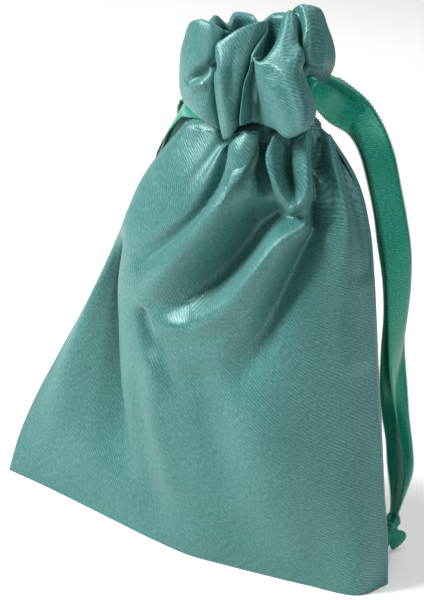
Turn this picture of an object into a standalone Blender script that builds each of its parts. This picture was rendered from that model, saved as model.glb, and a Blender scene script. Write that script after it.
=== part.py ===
"""Drawstring gift sack of satin cloth, standing, with its mouth gathered shut by two ribbons.

+Z is up, +X runs from the left side seam to the right one, and the front faces -Y.
The origin lies on the floor, in the middle of the sack's base.
"""

import bpy
from math import cos, pi, sin
from mathutils import Vector

# ---- Sack: overall sizes ---------------------------------------------------
SACK_WIDTH = 0.100            # from side seam to side seam at the base
SACK_HEIGHT = 0.130           # floor to the ruffle's top edge, in the middle
BASE_FRONT_DEPTH = 0.0142     # from the bottom seam to the base's front edge
BASE_BACK_DEPTH = 0.0095
BELLY_DEPTH = 0.0173          # from the side seams' plane to the belly, at front and back
BELLY_HEIGHT = 0.045

# ---- Neck, casing and ruffle -----------------------------------------------
CASING_MIDDLE = 0.108         # height of the ribbon channel's middle
CASING_HEIGHT = 0.0090        # between its two rows of stitches
NECK_CENTRE = 0.0020          # the gathered neck sits a little right of the middle
NECK_HALF_WIDTH = 0.0163
NECK_HALF_DEPTH = 0.0095
NECK_SQUARENESS = 4.0         # superellipse power: straight channels, round corners
NECK_LEAN = 0.20              # rise of the neck per metre towards +X
LEAN_START = 0.060            # height where that lean begins
SQUARE_START = 0.085          # height where the body's oval begins to turn square
RUFFLE_HALF_WIDTH = 0.0185    # at the ruffle's top edge
RUFFLE_HALF_DEPTH = 0.0120
RUFFLE_WAVES = 5              # folds in each panel's ruffle
RUFFLE_WAVE_DEPTH = 0.0013

# ---- Cloth, thread and ribbon ----------------------------------------------
CLOTH = 0.0005                # thickness of one layer
CLEARANCE = 0.0003            # gap between pieces that touch
HEM_GAP = 0.0005              # between the two layers of the turned-in hem
SEAM_GAP = 0.0005             # between the two panels' edges, where they are sewn
CHANNEL = 0.0021              # between the two layers where the ribbon runs
SEAM_ALLOWANCE = 0.0025       # depth of the sewn edges inside
SEAM_THICKNESS = 0.0008
SEAM_START = 0.0045           # height of the side seams' lower ends
SEAM_END_SHARE = 0.93         # their upper ends, as a share of the channel's height
CORNER_HEIGHT = 0.008         # below this the base's rounded corner pushes the seam inwards
CORNER_STEP = 0.0012
BOTTOM_SEAM_INSET = 0.0085    # from the base's corner to the bottom seam's end
FLOOR_CORNER_STEP = 0.004     # how far in the base's corners lie at the bottom seam
THREAD_RADIUS = 0.00015
RIBBON_WIDTH = 0.00635        # quarter-inch ribbon
RIBBON_THICKNESS = 0.0004
BUNCHED_WIDTH = 0.0036        # the same ribbon folded lengthwise inside the channel
LOOP_END = 0.0026             # how far past the neck's middle a channel loop reaches
SLIT_LENGTH = 0.010
SLIT_INSIDE = 0.004           # how far inside the neck's end a slit begins
SLIT_OUTSIDE = 0.0004         # how far outside the neck's end a ribbon's route begins
PULLED_WIDTH = 0.0016         # where a strand is drawn into its knot
KNOT_LENGTH = 0.0062
KNOT_WIDTH = 0.0048
KNOT_DEPTH = 0.8 * KNOT_WIDTH
END_START_WIDTH = 0.0014      # where a cut end comes out of its knot
END_WIDTH = 0.6 * RIBBON_WIDTH

# ---- Mesh fineness ---------------------------------------------------------
PANEL_COLUMNS = 30
THREAD_POINTS = 26
LOOP_POINTS = 26
STRAND_POINTS = 26

# The panels' rows: shares of the way from the bottom seam to the base's edge, heights of the
# body's rows, and shares of the way from the channel to the ruffle's top edge.
FLOOR_ROWS = (0.0, 0.35, 0.7, 0.92)
BODY_ROWS = (0.0, 0.0015, 0.007, 0.018, 0.032, 0.045, 0.058, 0.071, 0.083, 0.092, 0.098)
RUFFLE_ROWS = (0.2, 0.45, 0.7, 0.94)
HEM_ROWS = (0.94, 0.7, 0.45, 0.25)
HEM_TAIL = 0.0014             # how far the hem's raw edge reaches below the channel

# How far in the sides have come at each share of the way up to the neck:
# (share of the height, share at the right side, share at the left side).
SIDE_PROFILE = [
    (0.00, 0.00, 0.00),
    (0.22, 0.15, 0.15),
    (0.41, 0.28, 0.36),
    (0.57, 0.38, 0.54),
    (0.67, 0.45, 0.65),
    (0.80, 0.58, 0.71),
    (0.88, 0.70, 0.79),
    (0.96, 0.84, 0.91),
    (1.00, 1.00, 1.00),
]

# Where each ribbon goes once it is out of the channel, from its slit on, in metres:
# (step towards the ribbon's own side, step in Y, step in Z).
RIGHT_FRONT_LEAD = [(0.0, 0.0, 0.0), (0.0020, 0.0002, 0.0002), (0.0052, 0.0012, -0.0010),
                    (0.0082, 0.0036, -0.0042), (0.0098, 0.0061, -0.0082)]
RIGHT_BACK_LEAD = [(0.0, 0.0, 0.0), (0.0020, 0.0, 0.0002), (0.0053, -0.0001, -0.0004),
                   (0.0084, -0.0003, -0.0038), (0.0098, -0.0004, -0.0082)]
RIGHT_FRONT_STRAND = [
    (0.0285, -0.0015, 0.1049), (0.0286, 0.0002, 0.1018), (0.0287, 0.0032, 0.0980),
    (0.0293, 0.0070, 0.0940), (0.0306, 0.0100, 0.0895), (0.0326, 0.0122, 0.0820),
    (0.0346, 0.0136, 0.0720), (0.0363, 0.0143, 0.0620), (0.0377, 0.0148, 0.0500),
    (0.0394, 0.0154, 0.0380), (0.0416, 0.0164, 0.0260), (0.0434, 0.0172, 0.0165),
    (0.0441, 0.0173, 0.0114)]
RIGHT_BACK_STRAND = [
    (0.0285, 0.0072, 0.1049), (0.0311, 0.0074, 0.1026), (0.0332, 0.0064, 0.0975),
    (0.0346, 0.0066, 0.0910), (0.0363, 0.0082, 0.0820), (0.0377, 0.0100, 0.0720),
    (0.0387, 0.0114, 0.0620), (0.0397, 0.0124, 0.0500), (0.0414, 0.0136, 0.0380),
    (0.0436, 0.0147, 0.0260), (0.0450, 0.0152, 0.0165), (0.0453, 0.0156, 0.0114)]
RIGHT_KNOT = (0.0447, 0.0164, 0.0080)
RIGHT_ENDS = [
    [(0.0441, 0.0160, 0.0046), (0.0430, 0.0152, 0.0030), (0.0423, 0.0147, 0.0016)],
    [(0.0455, 0.0172, 0.0046), (0.0462, 0.0180, 0.0030), (0.0466, 0.0186, 0.0016)]]

LEFT_FRONT_LEAD = [(0.0, 0.0, 0.0), (0.0020, 0.0002, -0.0004), (0.0048, 0.0018, -0.0020),
                   (0.0068, 0.0048, -0.0050), (0.0080, 0.0082, -0.0088)]
LEFT_BACK_LEAD = [(0.0, 0.0, 0.0), (0.0020, 0.0002, -0.0004), (0.0049, 0.0008, -0.0018),
                  (0.0070, 0.0014, -0.0048), (0.0080, 0.0018, -0.0088)]
LEFT_FRONT_STRAND = [
    (-0.0228, 0.0006, 0.0926), (-0.0230, 0.0032, 0.0900), (-0.0236, 0.0070, 0.0862),
    (-0.0240, 0.0106, 0.0815), (-0.0246, 0.0128, 0.0750), (-0.0250, 0.0141, 0.0660),
    (-0.0253, 0.0152, 0.0540), (-0.0256, 0.0160, 0.0420), (-0.0260, 0.0166, 0.0300),
    (-0.0264, 0.0170, 0.0190), (-0.0268, 0.0172, 0.0114)]
LEFT_BACK_STRAND = [
    (-0.0228, 0.0094, 0.0926), (-0.0236, 0.0100, 0.0895), (-0.0249, 0.0128, 0.0848),
    (-0.0260, 0.0153, 0.0800), (-0.0267, 0.0168, 0.0740), (-0.0270, 0.0177, 0.0660),
    (-0.0271, 0.0182, 0.0540), (-0.0272, 0.0185, 0.0420), (-0.0273, 0.0187, 0.0300),
    (-0.0276, 0.0187, 0.0190), (-0.0279, 0.0187, 0.0114)]
LEFT_KNOT = (-0.0274, 0.0180, 0.0080)
LEFT_ENDS = [
    [(-0.0268, 0.0176, 0.0046), (-0.0258, 0.0170, 0.0030), (-0.0252, 0.0167, 0.0016)],
    [(-0.0282, 0.0186, 0.0046), (-0.0290, 0.0194, 0.0030), (-0.0295, 0.0200, 0.0016)]]

FRONT, BACK = -1, 1
LEFT, RIGHT = -1, 1
UP = Vector((0.0, 0.0, 1.0))
ACROSS = Vector((0.0, 1.0, 0.0))       # a ribbon's width where it folds over its hinge line
HANGING = Vector((0.94, 0.34, 0.0))    # a ribbon's width where it hangs

# ---- Heights that follow from the sizes above -------------------------------
CASING_BOTTOM = CASING_MIDDLE - CASING_HEIGHT / 2
CASING_TOP = CASING_MIDDLE + CASING_HEIGHT / 2
HEM_INSET = CLOTH + HEM_GAP + CLOTH
CHANNEL_INSET = CLOTH + CHANNEL + CLOTH
RIBBON_INSET = CLOTH + CHANNEL / 2 + 0.00035
STRING_OFFSET = CASING_HEIGHT / 4      # one string runs above the other in the channel
STITCH_MARGIN = THREAD_RADIUS + CLEARANCE


# ---- Scene helpers -----------------------------------------------------------
def clear_scene():
    for old in list(bpy.data.objects):
        bpy.data.objects.remove(old, do_unlink=True)


def new_collection(name):
    collection = bpy.data.collections.new(name)
    bpy.context.scene.collection.children.link(collection)
    return collection


def new_material(name, colour, roughness):
    material = bpy.data.materials.new(name)
    material.use_nodes = True
    shader = material.node_tree.nodes["Principled BSDF"]
    shader.inputs["Base Color"].default_value = (*colour, 1.0)
    shader.inputs["Roughness"].default_value = roughness
    shader.inputs["Metallic"].default_value = 0.0
    return material


def place(name, data, collection, material):
    piece = bpy.data.objects.new(name, data)
    collection.objects.link(piece)
    data.materials.append(material)
    return piece


def blend(low, high, share):
    return low + (high - low) * share


def ease(value):
    value = min(max(value, 0.0), 1.0)
    return value * value * (3.0 - 2.0 * value)


def smooth_route(points, count):
    """Evenly spread samples of a Catmull-Rom curve through the given points."""
    points = [Vector(point) for point in points]
    padded = [points[0] * 2 - points[1]] + points + [points[-1] * 2 - points[-2]]
    fine = []
    steps = 12
    for before, start, end, after in zip(padded, padded[1:], padded[2:], padded[3:]):
        for step in range(steps):
            t = step / steps
            fine.append(0.5 * (2 * start + (end - before) * t
                               + (2 * before - 5 * start + 4 * end - after) * t ** 2
                               + (3 * start - before - 3 * end + after) * t ** 3))
    fine.append(points[-1])
    lengths = [0.0]
    for first, second in zip(fine, fine[1:]):
        lengths.append(lengths[-1] + (second - first).length)
    samples = []
    index = 0
    for number in range(count):
        wanted = lengths[-1] * number / (count - 1)
        while index < len(fine) - 2 and lengths[index + 1] < wanted:
            index += 1
        span = lengths[index + 1] - lengths[index]
        samples.append(fine[index].lerp(fine[index + 1], (wanted - lengths[index]) / span))
    return samples


def loft(name, rows, thickness, collection, material, centred=False):
    """A sheet through rows of points, given its thickness by Solidify."""
    columns = len(rows[0])
    corners = [point for row in rows for point in row]
    faces = []
    for row in range(len(rows) - 1):
        for column in range(columns - 1):
            first = row * columns + column
            faces.append((first, first + 1, first + columns + 1, first + columns))
    mesh = bpy.data.meshes.new(name)
    mesh.from_pydata(corners, [], faces)
    mesh.shade_smooth()
    piece = place(name, mesh, collection, material)
    solid = piece.modifiers.new("Thickness", "SOLIDIFY")
    solid.thickness = thickness
    solid.offset = 0.0 if centred else -1.0
    return piece


# ---- The sack's outline --------------------------------------------------------
def side_share(height, side):
    """How far a side has come in from the base's corner towards the neck, 0 to 1."""
    share = min(max(height / CASING_BOTTOM, 0.0), 1.0)
    column = 1 if side == RIGHT else 2
    for low, high in zip(SIDE_PROFILE, SIDE_PROFILE[1:]):
        if share <= high[0]:
            return blend(low[column], high[column], (share - low[0]) / (high[0] - low[0]))
    return 1.0


def header_share(height):
    return ease((height - CASING_TOP) / (SACK_HEIGHT - CASING_TOP))


def side_edge(height, side):
    """X of a side seam at a height."""
    base = side * SACK_WIDTH / 2
    neck = NECK_CENTRE + side * NECK_HALF_WIDTH
    edge = blend(base, neck, side_share(height, side))
    return edge + side * (RUFFLE_HALF_WIDTH - NECK_HALF_WIDTH) * header_share(height)


def depth(height, face):
    """Distance from the side seams' plane to the front or back surface."""
    base = BASE_FRONT_DEPTH if face == FRONT else BASE_BACK_DEPTH
    if height < BELLY_HEIGHT:
        return blend(base, BELLY_DEPTH, sin(pi / 2 * height / BELLY_HEIGHT))
    share = (height - BELLY_HEIGHT) / (CASING_BOTTOM - BELLY_HEIGHT)
    neck = blend(BELLY_DEPTH, NECK_HALF_DEPTH, ease(share) ** 1.3)
    return neck + (RUFFLE_HALF_DEPTH - NECK_HALF_DEPTH) * header_share(height)


def squareness(height):
    share = ease((height - SQUARE_START) / (CASING_BOTTOM - SQUARE_START))
    return blend(2.0, NECK_SQUARENESS, share)


def lean(point):
    """Raise the right side of the neck, and of all that goes with it."""
    share = ease((point.z - LEAN_START) / (CASING_BOTTOM - 0.004 - LEAN_START))
    return Vector((point.x, point.y, point.z + NECK_LEAN * (point.x - NECK_CENTRE) * share))


def outline(height, face, across, inset=0.0):
    """A point on the sack; across runs from 0 at the left seam to 1 at the right one."""
    angle = pi * across
    power = 2.0 / squareness(height)
    wave = RUFFLE_WAVE_DEPTH * header_share(height) * sin(angle)
    inset = inset + wave * cos(2 * pi * RUFFLE_WAVES * across)
    left = side_edge(height, LEFT) + inset
    right = side_edge(height, RIGHT) - inset
    half = (right - left) / 2
    sideways = -cos(angle)
    reach = (1 if sideways > 0 else -1) * abs(sideways) ** power
    away = SEAM_GAP / 2 + (depth(height, face) - inset) * max(sin(angle), 0.0) ** power
    return Vector(((left + right) / 2 + half * reach, face * away, height))


def outline_row(height, face, inset=0.0):
    row = [lean(outline(height, face, column / PANEL_COLUMNS, inset))
           for column in range(PANEL_COLUMNS + 1)]
    return row if face == FRONT else row[::-1]


def floor_row(share, face):
    """A row of the flat base, from the bottom seam (0) to the base's edge (1)."""
    corner_step = FLOOR_CORNER_STEP * (1.0 - share)
    row = []
    for point in outline_row(0.0, face):
        x = point.x * (1.0 - corner_step / (SACK_WIDTH / 2))
        row.append(Vector((x, face * SEAM_GAP / 2 + (point.y - face * SEAM_GAP / 2) * share, 0.0)))
    return row


# ---- The sack's pieces ------------------------------------------------------------
def make_panel(name, face, collection, material):
    """One cloth panel: base, body, ruffle, and the hem turned in to form the channel."""
    rows = [floor_row(share, face) for share in FLOOR_ROWS]
    heights = [*BODY_ROWS, CASING_BOTTOM, CASING_MIDDLE, CASING_TOP]
    heights += [blend(CASING_TOP, SACK_HEIGHT, share) for share in RUFFLE_ROWS]
    rows += [outline_row(height, face) for height in heights]
    rows.append(outline_row(SACK_HEIGHT, face, HEM_INSET / 2))
    for share in HEM_ROWS:
        rows.append(outline_row(blend(CASING_TOP, SACK_HEIGHT, share), face, HEM_INSET))
    rows.append(outline_row(CASING_TOP, face, CHANNEL_INSET))
    rows.append(outline_row(CASING_BOTTOM, face, CHANNEL_INSET))
    rows.append(outline_row(CASING_BOTTOM - HEM_TAIL, face, HEM_INSET))
    return loft(name, rows, CLOTH, collection, material)


def string_height(side):
    """The right string runs in the channel's upper half, the left one in the lower half."""
    return CASING_MIDDLE + side * STRING_OFFSET


def slit_place(side, face):
    """Where a ribbon leaves the channel at its own end of the neck."""
    x = NECK_CENTRE + side * (NECK_HALF_WIDTH + SLIT_OUTSIDE)
    return lean(Vector((x, face * lane(), string_height(side))))


def lane():
    """Distance of the ribbons' straight runs from the neck's middle plane."""
    return NECK_HALF_DEPTH - RIBBON_INSET


def cut_slit(panel, side, face, cutters):
    """Open the panel where a ribbon passes out of the channel."""
    bpy.ops.mesh.primitive_cube_add(size=1.0)
    cutter = bpy.context.object
    cutter.name = f"slit_{panel.name}_{'right' if side == RIGHT else 'left'}"
    for collection in list(cutter.users_collection):
        collection.objects.unlink(cutter)
    cutters.objects.link(cutter)
    near = lean(Vector((NECK_CENTRE + side * (NECK_HALF_WIDTH - SLIT_INSIDE), face * lane(),
                        string_height(side))))
    cutter.location = near + channel_direction(side) * SLIT_LENGTH / 2
    cutter.rotation_euler = channel_direction(RIGHT).to_track_quat("X", "Z").to_euler()
    cutter.scale = (SLIT_LENGTH, RIBBON_THICKNESS + 2 * CLEARANCE, BUNCHED_WIDTH + 2 * CLEARANCE)
    cutter.hide_render = True
    cutter.display_type = "WIRE"
    cut = panel.modifiers.new("Slit", "BOOLEAN")
    cut.operation = "DIFFERENCE"
    cut.object = cutter


def channel_direction(side):
    """The way a string is pulled: outwards along the leaning channel."""
    return Vector((side, 0.0, side * NECK_LEAN)).normalized()


def make_side_seam(name, side, collection, material):
    """The two panels' sewn edges, turned inside, from the base up to the channel."""
    rows = []
    for step in range(19):
        height = blend(SEAM_START, SEAM_END_SHARE * CASING_BOTTOM, step / 18)
        outer = side_edge(height, side) - side * (CLOTH + 2 * CLEARANCE)
        if height < CORNER_HEIGHT:
            outer -= side * CORNER_STEP
        inner = outer - side * SEAM_ALLOWANCE
        rows.append([lean(Vector((outer, 0.0, height))), lean(Vector((inner, 0.0, height)))])
    return loft(name, rows, SEAM_THICKNESS, collection, material, centred=True)


def make_bottom_seam(name, collection, material):
    """The sewn edges along the middle of the base, standing up inside."""
    reach = SACK_WIDTH / 2 - BOTTOM_SEAM_INSET
    low = CLOTH + CLEARANCE
    rows = []
    for step in range(9):
        x = blend(-reach, reach, step / 8)
        rows.append([Vector((x, 0.0, low)), Vector((x, 0.0, low + SEAM_ALLOWANCE))])
    return loft(name, rows, SEAM_THICKNESS, collection, material, centred=True)


def make_stitch_row(name, face, height, collection, material):
    """A row of thread that closes the channel along its top or bottom."""
    curve = bpy.data.curves.new(name, "CURVE")
    curve.dimensions = "3D"
    curve.bevel_depth = THREAD_RADIUS
    curve.bevel_resolution = 2
    curve.use_fill_caps = True
    spline = curve.splines.new("POLY")
    spline.points.add(THREAD_POINTS - 1)
    proud = -(THREAD_RADIUS + CLEARANCE + 0.0001)
    for number, point in enumerate(spline.points):
        across = blend(0.07, 0.93, number / (THREAD_POINTS - 1))
        point.co = (*lean(outline(height, face, across, proud)), 1.0)
    return place(name, curve, collection, material)


# ---- Ribbons --------------------------------------------------------------------------
def strip(name, centres, widths, half_widths, collection, material):
    """A flat ribbon along a route: one width direction and half width for each point."""
    rows = []
    for index, centre in enumerate(centres):
        ahead = centres[min(index + 1, len(centres) - 1)]
        behind = centres[max(index - 1, 0)]
        along = (ahead - behind).normalized()
        width = widths[index]
        width = (width - along * width.dot(along)).normalized()
        rows.append([centre - width * half_widths[index], centre + width * half_widths[index]])
    return loft(name, rows, RIBBON_THICKNESS, collection, material, centred=True)


def make_loop(name, side, collection, material):
    """The string's stretch inside the channel, round the far end of the neck."""
    start = LOOP_END * side
    height = string_height(side)
    centres = []
    for number in range(LOOP_POINTS + 1):
        angle = pi * (number / LOOP_POINTS - 0.5)
        reach = abs(cos(angle)) ** (2.0 / NECK_SQUARENESS)
        x = NECK_CENTRE - side * (NECK_HALF_WIDTH - RIBBON_INSET) * reach
        turn = 1 if angle > 0 else -1
        y = turn * lane() * abs(sin(angle)) ** (2.0 / NECK_SQUARENESS)
        centres.append(lean(Vector((x, y, height))))
    for face, spot in ((FRONT, 0), (BACK, len(centres))):
        end = lean(Vector((start + NECK_CENTRE, face * lane(), height)))
        centres.insert(spot, end)
    widths = [UP] * len(centres)
    halves = [BUNCHED_WIDTH / 2] * len(centres)
    return strip(name, centres, widths, halves, collection, material)


def make_lead(name, side, face, steps, collection, material):
    """From inside the channel, out through the slit, and over to the hinge line."""
    slit = slit_place(side, face)
    outside = [slit + Vector((side * step[0], step[1], step[2])) for step in steps]
    inside = []
    for share in (0.0, 0.3, 0.6, 0.85):
        x = blend(NECK_CENTRE + side * (LOOP_END + 2 * CLEARANCE), slit.x, share)
        inside.append(lean(Vector((x, face * lane(), string_height(side)))))
    bend = smooth_route(outside, 11)
    centres = inside + bend
    widths = [UP] * len(inside)
    halves = [BUNCHED_WIDTH / 2] * len(inside)
    for number in range(len(bend)):
        share = ease((number - 1) / (len(bend) - 2))
        widths.append(UP.lerp(ACROSS, share) if side == RIGHT else UP.lerp(-ACROSS, share))
        halves.append(blend(BUNCHED_WIDTH, RIBBON_WIDTH, share) / 2)
    return strip(name, centres, widths, halves, collection, material)


def make_strand(name, side, route, collection, material):
    """The free stretch from the hinge line down to the knot."""
    centres = smooth_route(route, STRAND_POINTS)
    hanging = Vector((HANGING.x, HANGING.y * side, 0.0))
    widths = []
    halves = []
    for number in range(STRAND_POINTS):
        share = ease((number - 1) / 7)
        widths.append(ACROSS.lerp(hanging, share))
        gather = ease((number - STRAND_POINTS + 5) / 4)
        halves.append(blend(RIBBON_WIDTH, PULLED_WIDTH, gather) / 2)
    return strip(name, centres, widths, halves, collection, material)


def make_knot(name, centre, collection, material):
    bpy.ops.mesh.primitive_uv_sphere_add(segments=14, ring_count=8, radius=0.5)
    knot = bpy.context.object
    knot.name = name
    for old in list(knot.users_collection):
        old.objects.unlink(knot)
    collection.objects.link(knot)
    knot.location = centre
    knot.scale = (KNOT_WIDTH, KNOT_DEPTH, KNOT_LENGTH)
    knot.data.materials.append(material)
    knot.data.shade_smooth()
    return knot


def make_end(name, route, collection, material):
    centres = smooth_route(route, 6)
    widths = [HANGING] * len(centres)
    halves = [blend(END_START_WIDTH, END_WIDTH, ease(number / 4)) / 2 for number in range(6)]
    return strip(name, centres, widths, halves, collection, material)


def make_drawstring(word, side, leads, strands, knot, ends, collection, material):
    make_loop(f"{word}_ribbon_channel_loop", side, collection, material)
    for face_word, face, lead in zip(("front", "back"), (FRONT, BACK), leads):
        make_lead(f"{word}_ribbon_{face_word}_lead", side, face, lead, collection, material)
    for face_word, route in zip(("front", "back"), strands):
        make_strand(f"{word}_ribbon_{face_word}_strand", side, route, collection, material)
    make_knot(f"{word}_ribbon_knot", knot, collection, material)
    for number_word, route in zip(("first", "second"), ends):
        make_end(f"{word}_ribbon_{number_word}_end", route, collection, material)


def main():
    clear_scene()
    sack = new_collection("fabric_gift_sack")
    cutters = new_collection("cutters")
    satin = new_material("satin_cloth", (0.125, 0.330, 0.315), 0.38)
    ribbon = new_material("ribbon", (0.020, 0.260, 0.155), 0.35)
    thread = new_material("thread", (0.090, 0.250, 0.235), 0.6)

    for word, face in (("front", FRONT), ("back", BACK)):
        panel = make_panel(f"{word}_panel", face, sack, satin)
        cut_slit(panel, RIGHT, face, cutters)
        cut_slit(panel, LEFT, face, cutters)
        make_stitch_row(f"{word}_upper_stitches", face, CASING_TOP + STITCH_MARGIN, sack, thread)
        make_stitch_row(f"{word}_lower_stitches", face, CASING_BOTTOM - STITCH_MARGIN, sack, thread)
    make_side_seam("left_side_seam", LEFT, sack, thread)
    make_side_seam("right_side_seam", RIGHT, sack, thread)
    make_bottom_seam("bottom_seam", sack, thread)
    make_drawstring("right", RIGHT, (RIGHT_FRONT_LEAD, RIGHT_BACK_LEAD),
                    (RIGHT_FRONT_STRAND, RIGHT_BACK_STRAND), RIGHT_KNOT, RIGHT_ENDS, sack, ribbon)
    make_drawstring("left", LEFT, (LEFT_FRONT_LEAD, LEFT_BACK_LEAD),
                    (LEFT_FRONT_STRAND, LEFT_BACK_STRAND), LEFT_KNOT, LEFT_ENDS, sack, ribbon)


main()
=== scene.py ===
"""Looks of the fabric gift sack: draped satin panels, gathered ruffle, ribbons, camera and light.

Shapes are worked out in millimetres in the CAD model's frame: +Z up, +X towards the right side
seam, the front towards -Y, and the origin on the floor in the middle of the base.
"""

from math import cos, pi, radians, sin

import bpy
import numpy as np
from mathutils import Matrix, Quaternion, Vector


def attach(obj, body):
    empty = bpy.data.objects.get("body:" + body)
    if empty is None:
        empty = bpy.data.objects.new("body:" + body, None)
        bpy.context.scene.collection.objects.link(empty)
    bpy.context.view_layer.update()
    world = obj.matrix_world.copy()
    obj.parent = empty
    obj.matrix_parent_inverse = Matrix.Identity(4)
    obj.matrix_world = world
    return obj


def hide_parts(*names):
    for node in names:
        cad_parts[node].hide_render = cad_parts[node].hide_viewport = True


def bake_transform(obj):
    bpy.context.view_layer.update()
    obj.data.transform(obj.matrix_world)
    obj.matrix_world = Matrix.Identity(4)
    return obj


MM = 0.001

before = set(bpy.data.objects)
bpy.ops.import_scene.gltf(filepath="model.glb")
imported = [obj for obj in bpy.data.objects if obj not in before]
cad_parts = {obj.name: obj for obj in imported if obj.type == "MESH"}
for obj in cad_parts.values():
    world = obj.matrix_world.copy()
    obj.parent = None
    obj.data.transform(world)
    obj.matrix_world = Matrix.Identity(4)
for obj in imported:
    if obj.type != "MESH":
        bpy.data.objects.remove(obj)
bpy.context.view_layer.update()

# ---- Sizes ------------------------------------------------------------
CLOTH_THICKNESS = 0.34
RIBBON_WIDTH = 6.35
RIBBON_THICKNESS = 0.3
# The neck is an oval that leans with the channel. Its foot is the wider ring where the body's
# shoulders begin, and its waist is where the ribbons draw it in most.
NECK_CENTRE = np.array([2.0, 0.0])
NECK_HALF_WIDTH = 13.0
NECK_HALF_DEPTH = 7.4
NECK_LEAN = 0.20
FOOT_RISE = 101.0
FOOT_CENTRE = 3.6
FOOT_HALF_WIDTH = 17.4
FOOT_HALF_DEPTH = 8.6
WAIST_RISE = 106.0
BODY_TOP = 101.0
# Where the two panels meet, each stands this far from the seam's own plane.
SEAM_HALF_GAP = 0.15

# How finely each panel is divided.
FRONT_COLUMNS = 340
BACK_COLUMNS = 260
BASE_ROWS = 12
BODY_ROWS = 210
HEADER_ROWS = 150
CURVE_SAMPLES = 400


# ---- Small maths ------------------------------------------------------
def ease(value):
    """0 below 0, 1 above 1, and a smooth step between."""
    value = np.clip(value, 0.0, 1.0)
    return value * value * (3.0 - 2.0 * value)


def bump(value):
    """A smooth hump: 1 at 0 and nearly 0 at 2."""
    return np.exp(-value * value)


def hermite(x, knots, values):
    """Smooth interpolation through knots; values may hold several columns."""
    knots = np.asarray(knots, float)
    values = np.asarray(values, float)
    slopes = np.gradient(values, knots, axis=0)
    x = np.clip(x, knots[0], knots[-1])
    index = np.clip(np.searchsorted(knots, x) - 1, 0, len(knots) - 2)
    width = knots[index + 1] - knots[index]
    t = (x - knots[index]) / width
    if values.ndim > 1:
        t = t[..., None]
        width = width[..., None]
    start = values[index]
    end = values[index + 1]
    return ((2 * t**3 - 3 * t**2 + 1) * start + (t**3 - 2 * t**2 + t) * width * slopes[index]
            + (-2 * t**3 + 3 * t**2) * end + (t**3 - t**2) * width * slopes[index + 1])


def arc_lengths(points):
    """How far along a polyline each of its points is."""
    steps = np.linalg.norm(np.diff(points, axis=0), axis=1)
    return np.concatenate([[0.0], np.cumsum(steps)])


def at_lengths(wanted, lengths, values):
    """Values that are known at some lengths, read at others."""
    return np.stack([np.interp(wanted, lengths, column) for column in values.T], 1)


def resample(points, shares):
    """Points at the given shares of a polyline's length."""
    lengths = arc_lengths(points)
    return at_lengths(np.asarray(shares) * lengths[-1], lengths, points)


def smooth_route(points, count):
    """Evenly spread samples of a smooth curve through the given points."""
    points = np.asarray(points, float)
    fine = hermite(np.linspace(0, len(points) - 1, 24 * len(points)), np.arange(len(points)), points)
    return resample(fine, np.linspace(0, 1, count))


def unit(vectors):
    """The same directions, one unit long."""
    return vectors / np.linalg.norm(vectors, axis=-1, keepdims=True)


def running_lengths(grid):
    """How far along its own row each point of a grid is."""
    steps = np.linalg.norm(np.diff(grid, axis=1), axis=2)
    return np.pad(np.cumsum(steps, 1), ((0, 0), (1, 0)))


def smoothed(values, reach):
    """Each row's values, averaged over their neighbours up to reach places away."""
    window = np.ones(2 * reach + 1) / (2 * reach + 1)
    padded = np.pad(values, ((0, 0), (reach, reach)), mode="edge")
    return np.array([np.convolve(row, window, mode="valid") for row in padded])


# ---- Outlines of the body ---------------------------------------------
# Outlines of the front at rising heights, from the left side seam to the right one:
# (across X, how far it stands forward of the seams). The contents fill the right part,
# and the left part is a flat wing.
FRONT_SECTIONS = {
    0: [(-50, 0.2), (-38, 3), (-26, 6.3), (-16, 9.2), (-6, 12), (4.6, 14.2), (14, 13.7),
        (24, 12.7), (34, 11.4), (45.5, 9.3), (50, 0.2)],
    10: [(-48.2, 0.2), (-37, 3.4), (-26, 6.6), (-16, 9.4), (-7, 12.2), (3, 15.2), (14, 15.6),
         (25, 14.6), (35, 12.4), (44.4, 8.4), (48.3, 0.2)],
    22: [(-44.6, 0.2), (-37, 4.4), (-28, 4.6), (-18.6, 4.2), (-14, 10.6), (-3, 15.8), (9, 17.8),
         (22, 17), (33, 13.8), (41.6, 7.6), (45.5, 0.2)],
    35: [(-39.6, 0.2), (-35.4, 4.2), (-28, 3.4), (-19.8, 1.2), (-18.4, 9.4), (-12, 15), (-2, 18),
         (12, 19), (26, 16.8), (37.4, 9), (42.8, 0.2)],
    50: [(-33.7, 0.2), (-32, 3.6), (-27.4, 2.6), (-22, 0.5), (-21.1, 9), (-15, 15), (-5, 17.8),
         (10, 18.8), (24, 16.5), (34.4, 9.4), (39.6, 0.2)],
    62: [(-29.6, 0.2), (-28.4, 2.6), (-26.2, 1.8), (-23.5, 0.5), (-22.8, 8.4), (-17, 14), (-7, 17),
         (8, 18), (21, 16), (31.4, 9.4), (37.2, 0.2)],
    73: [(-26.2, 0.2), (-25.8, 2), (-25, 4.4), (-23.6, 7), (-20.6, 10.4), (-15, 13.5), (-6, 16),
         (6, 16.6), (18, 15), (28.4, 9.2), (35, 0.2)],
    84: [(-23, 0.2), (-22.5, 2.5), (-21.3, 5), (-19.4, 7.4), (-16.5, 9.8), (-11.5, 12.2), (-3.5, 14),
         (6, 14.4), (16, 12.8), (25.4, 8.2), (32.4, 0.2)],
    94: [(-19, 0.2), (-18.4, 2.6), (-17.2, 4.8), (-15.2, 6.8), (-12.5, 8.8), (-8, 10.6), (-2, 11.6),
         (5, 11.8), (13, 10.8), (21, 7.6), (28.4, 0.2)],
    103: [(-14.6, 0.2), (-14, 2.2), (-12.8, 4), (-11, 5.4), (-8.8, 6.4), (-5.5, 7.2), (-1, 7.7),
          (4, 7.8), (9.4, 7.4), (15.4, 5.6), (20.5, 0.2)],
}
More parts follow.
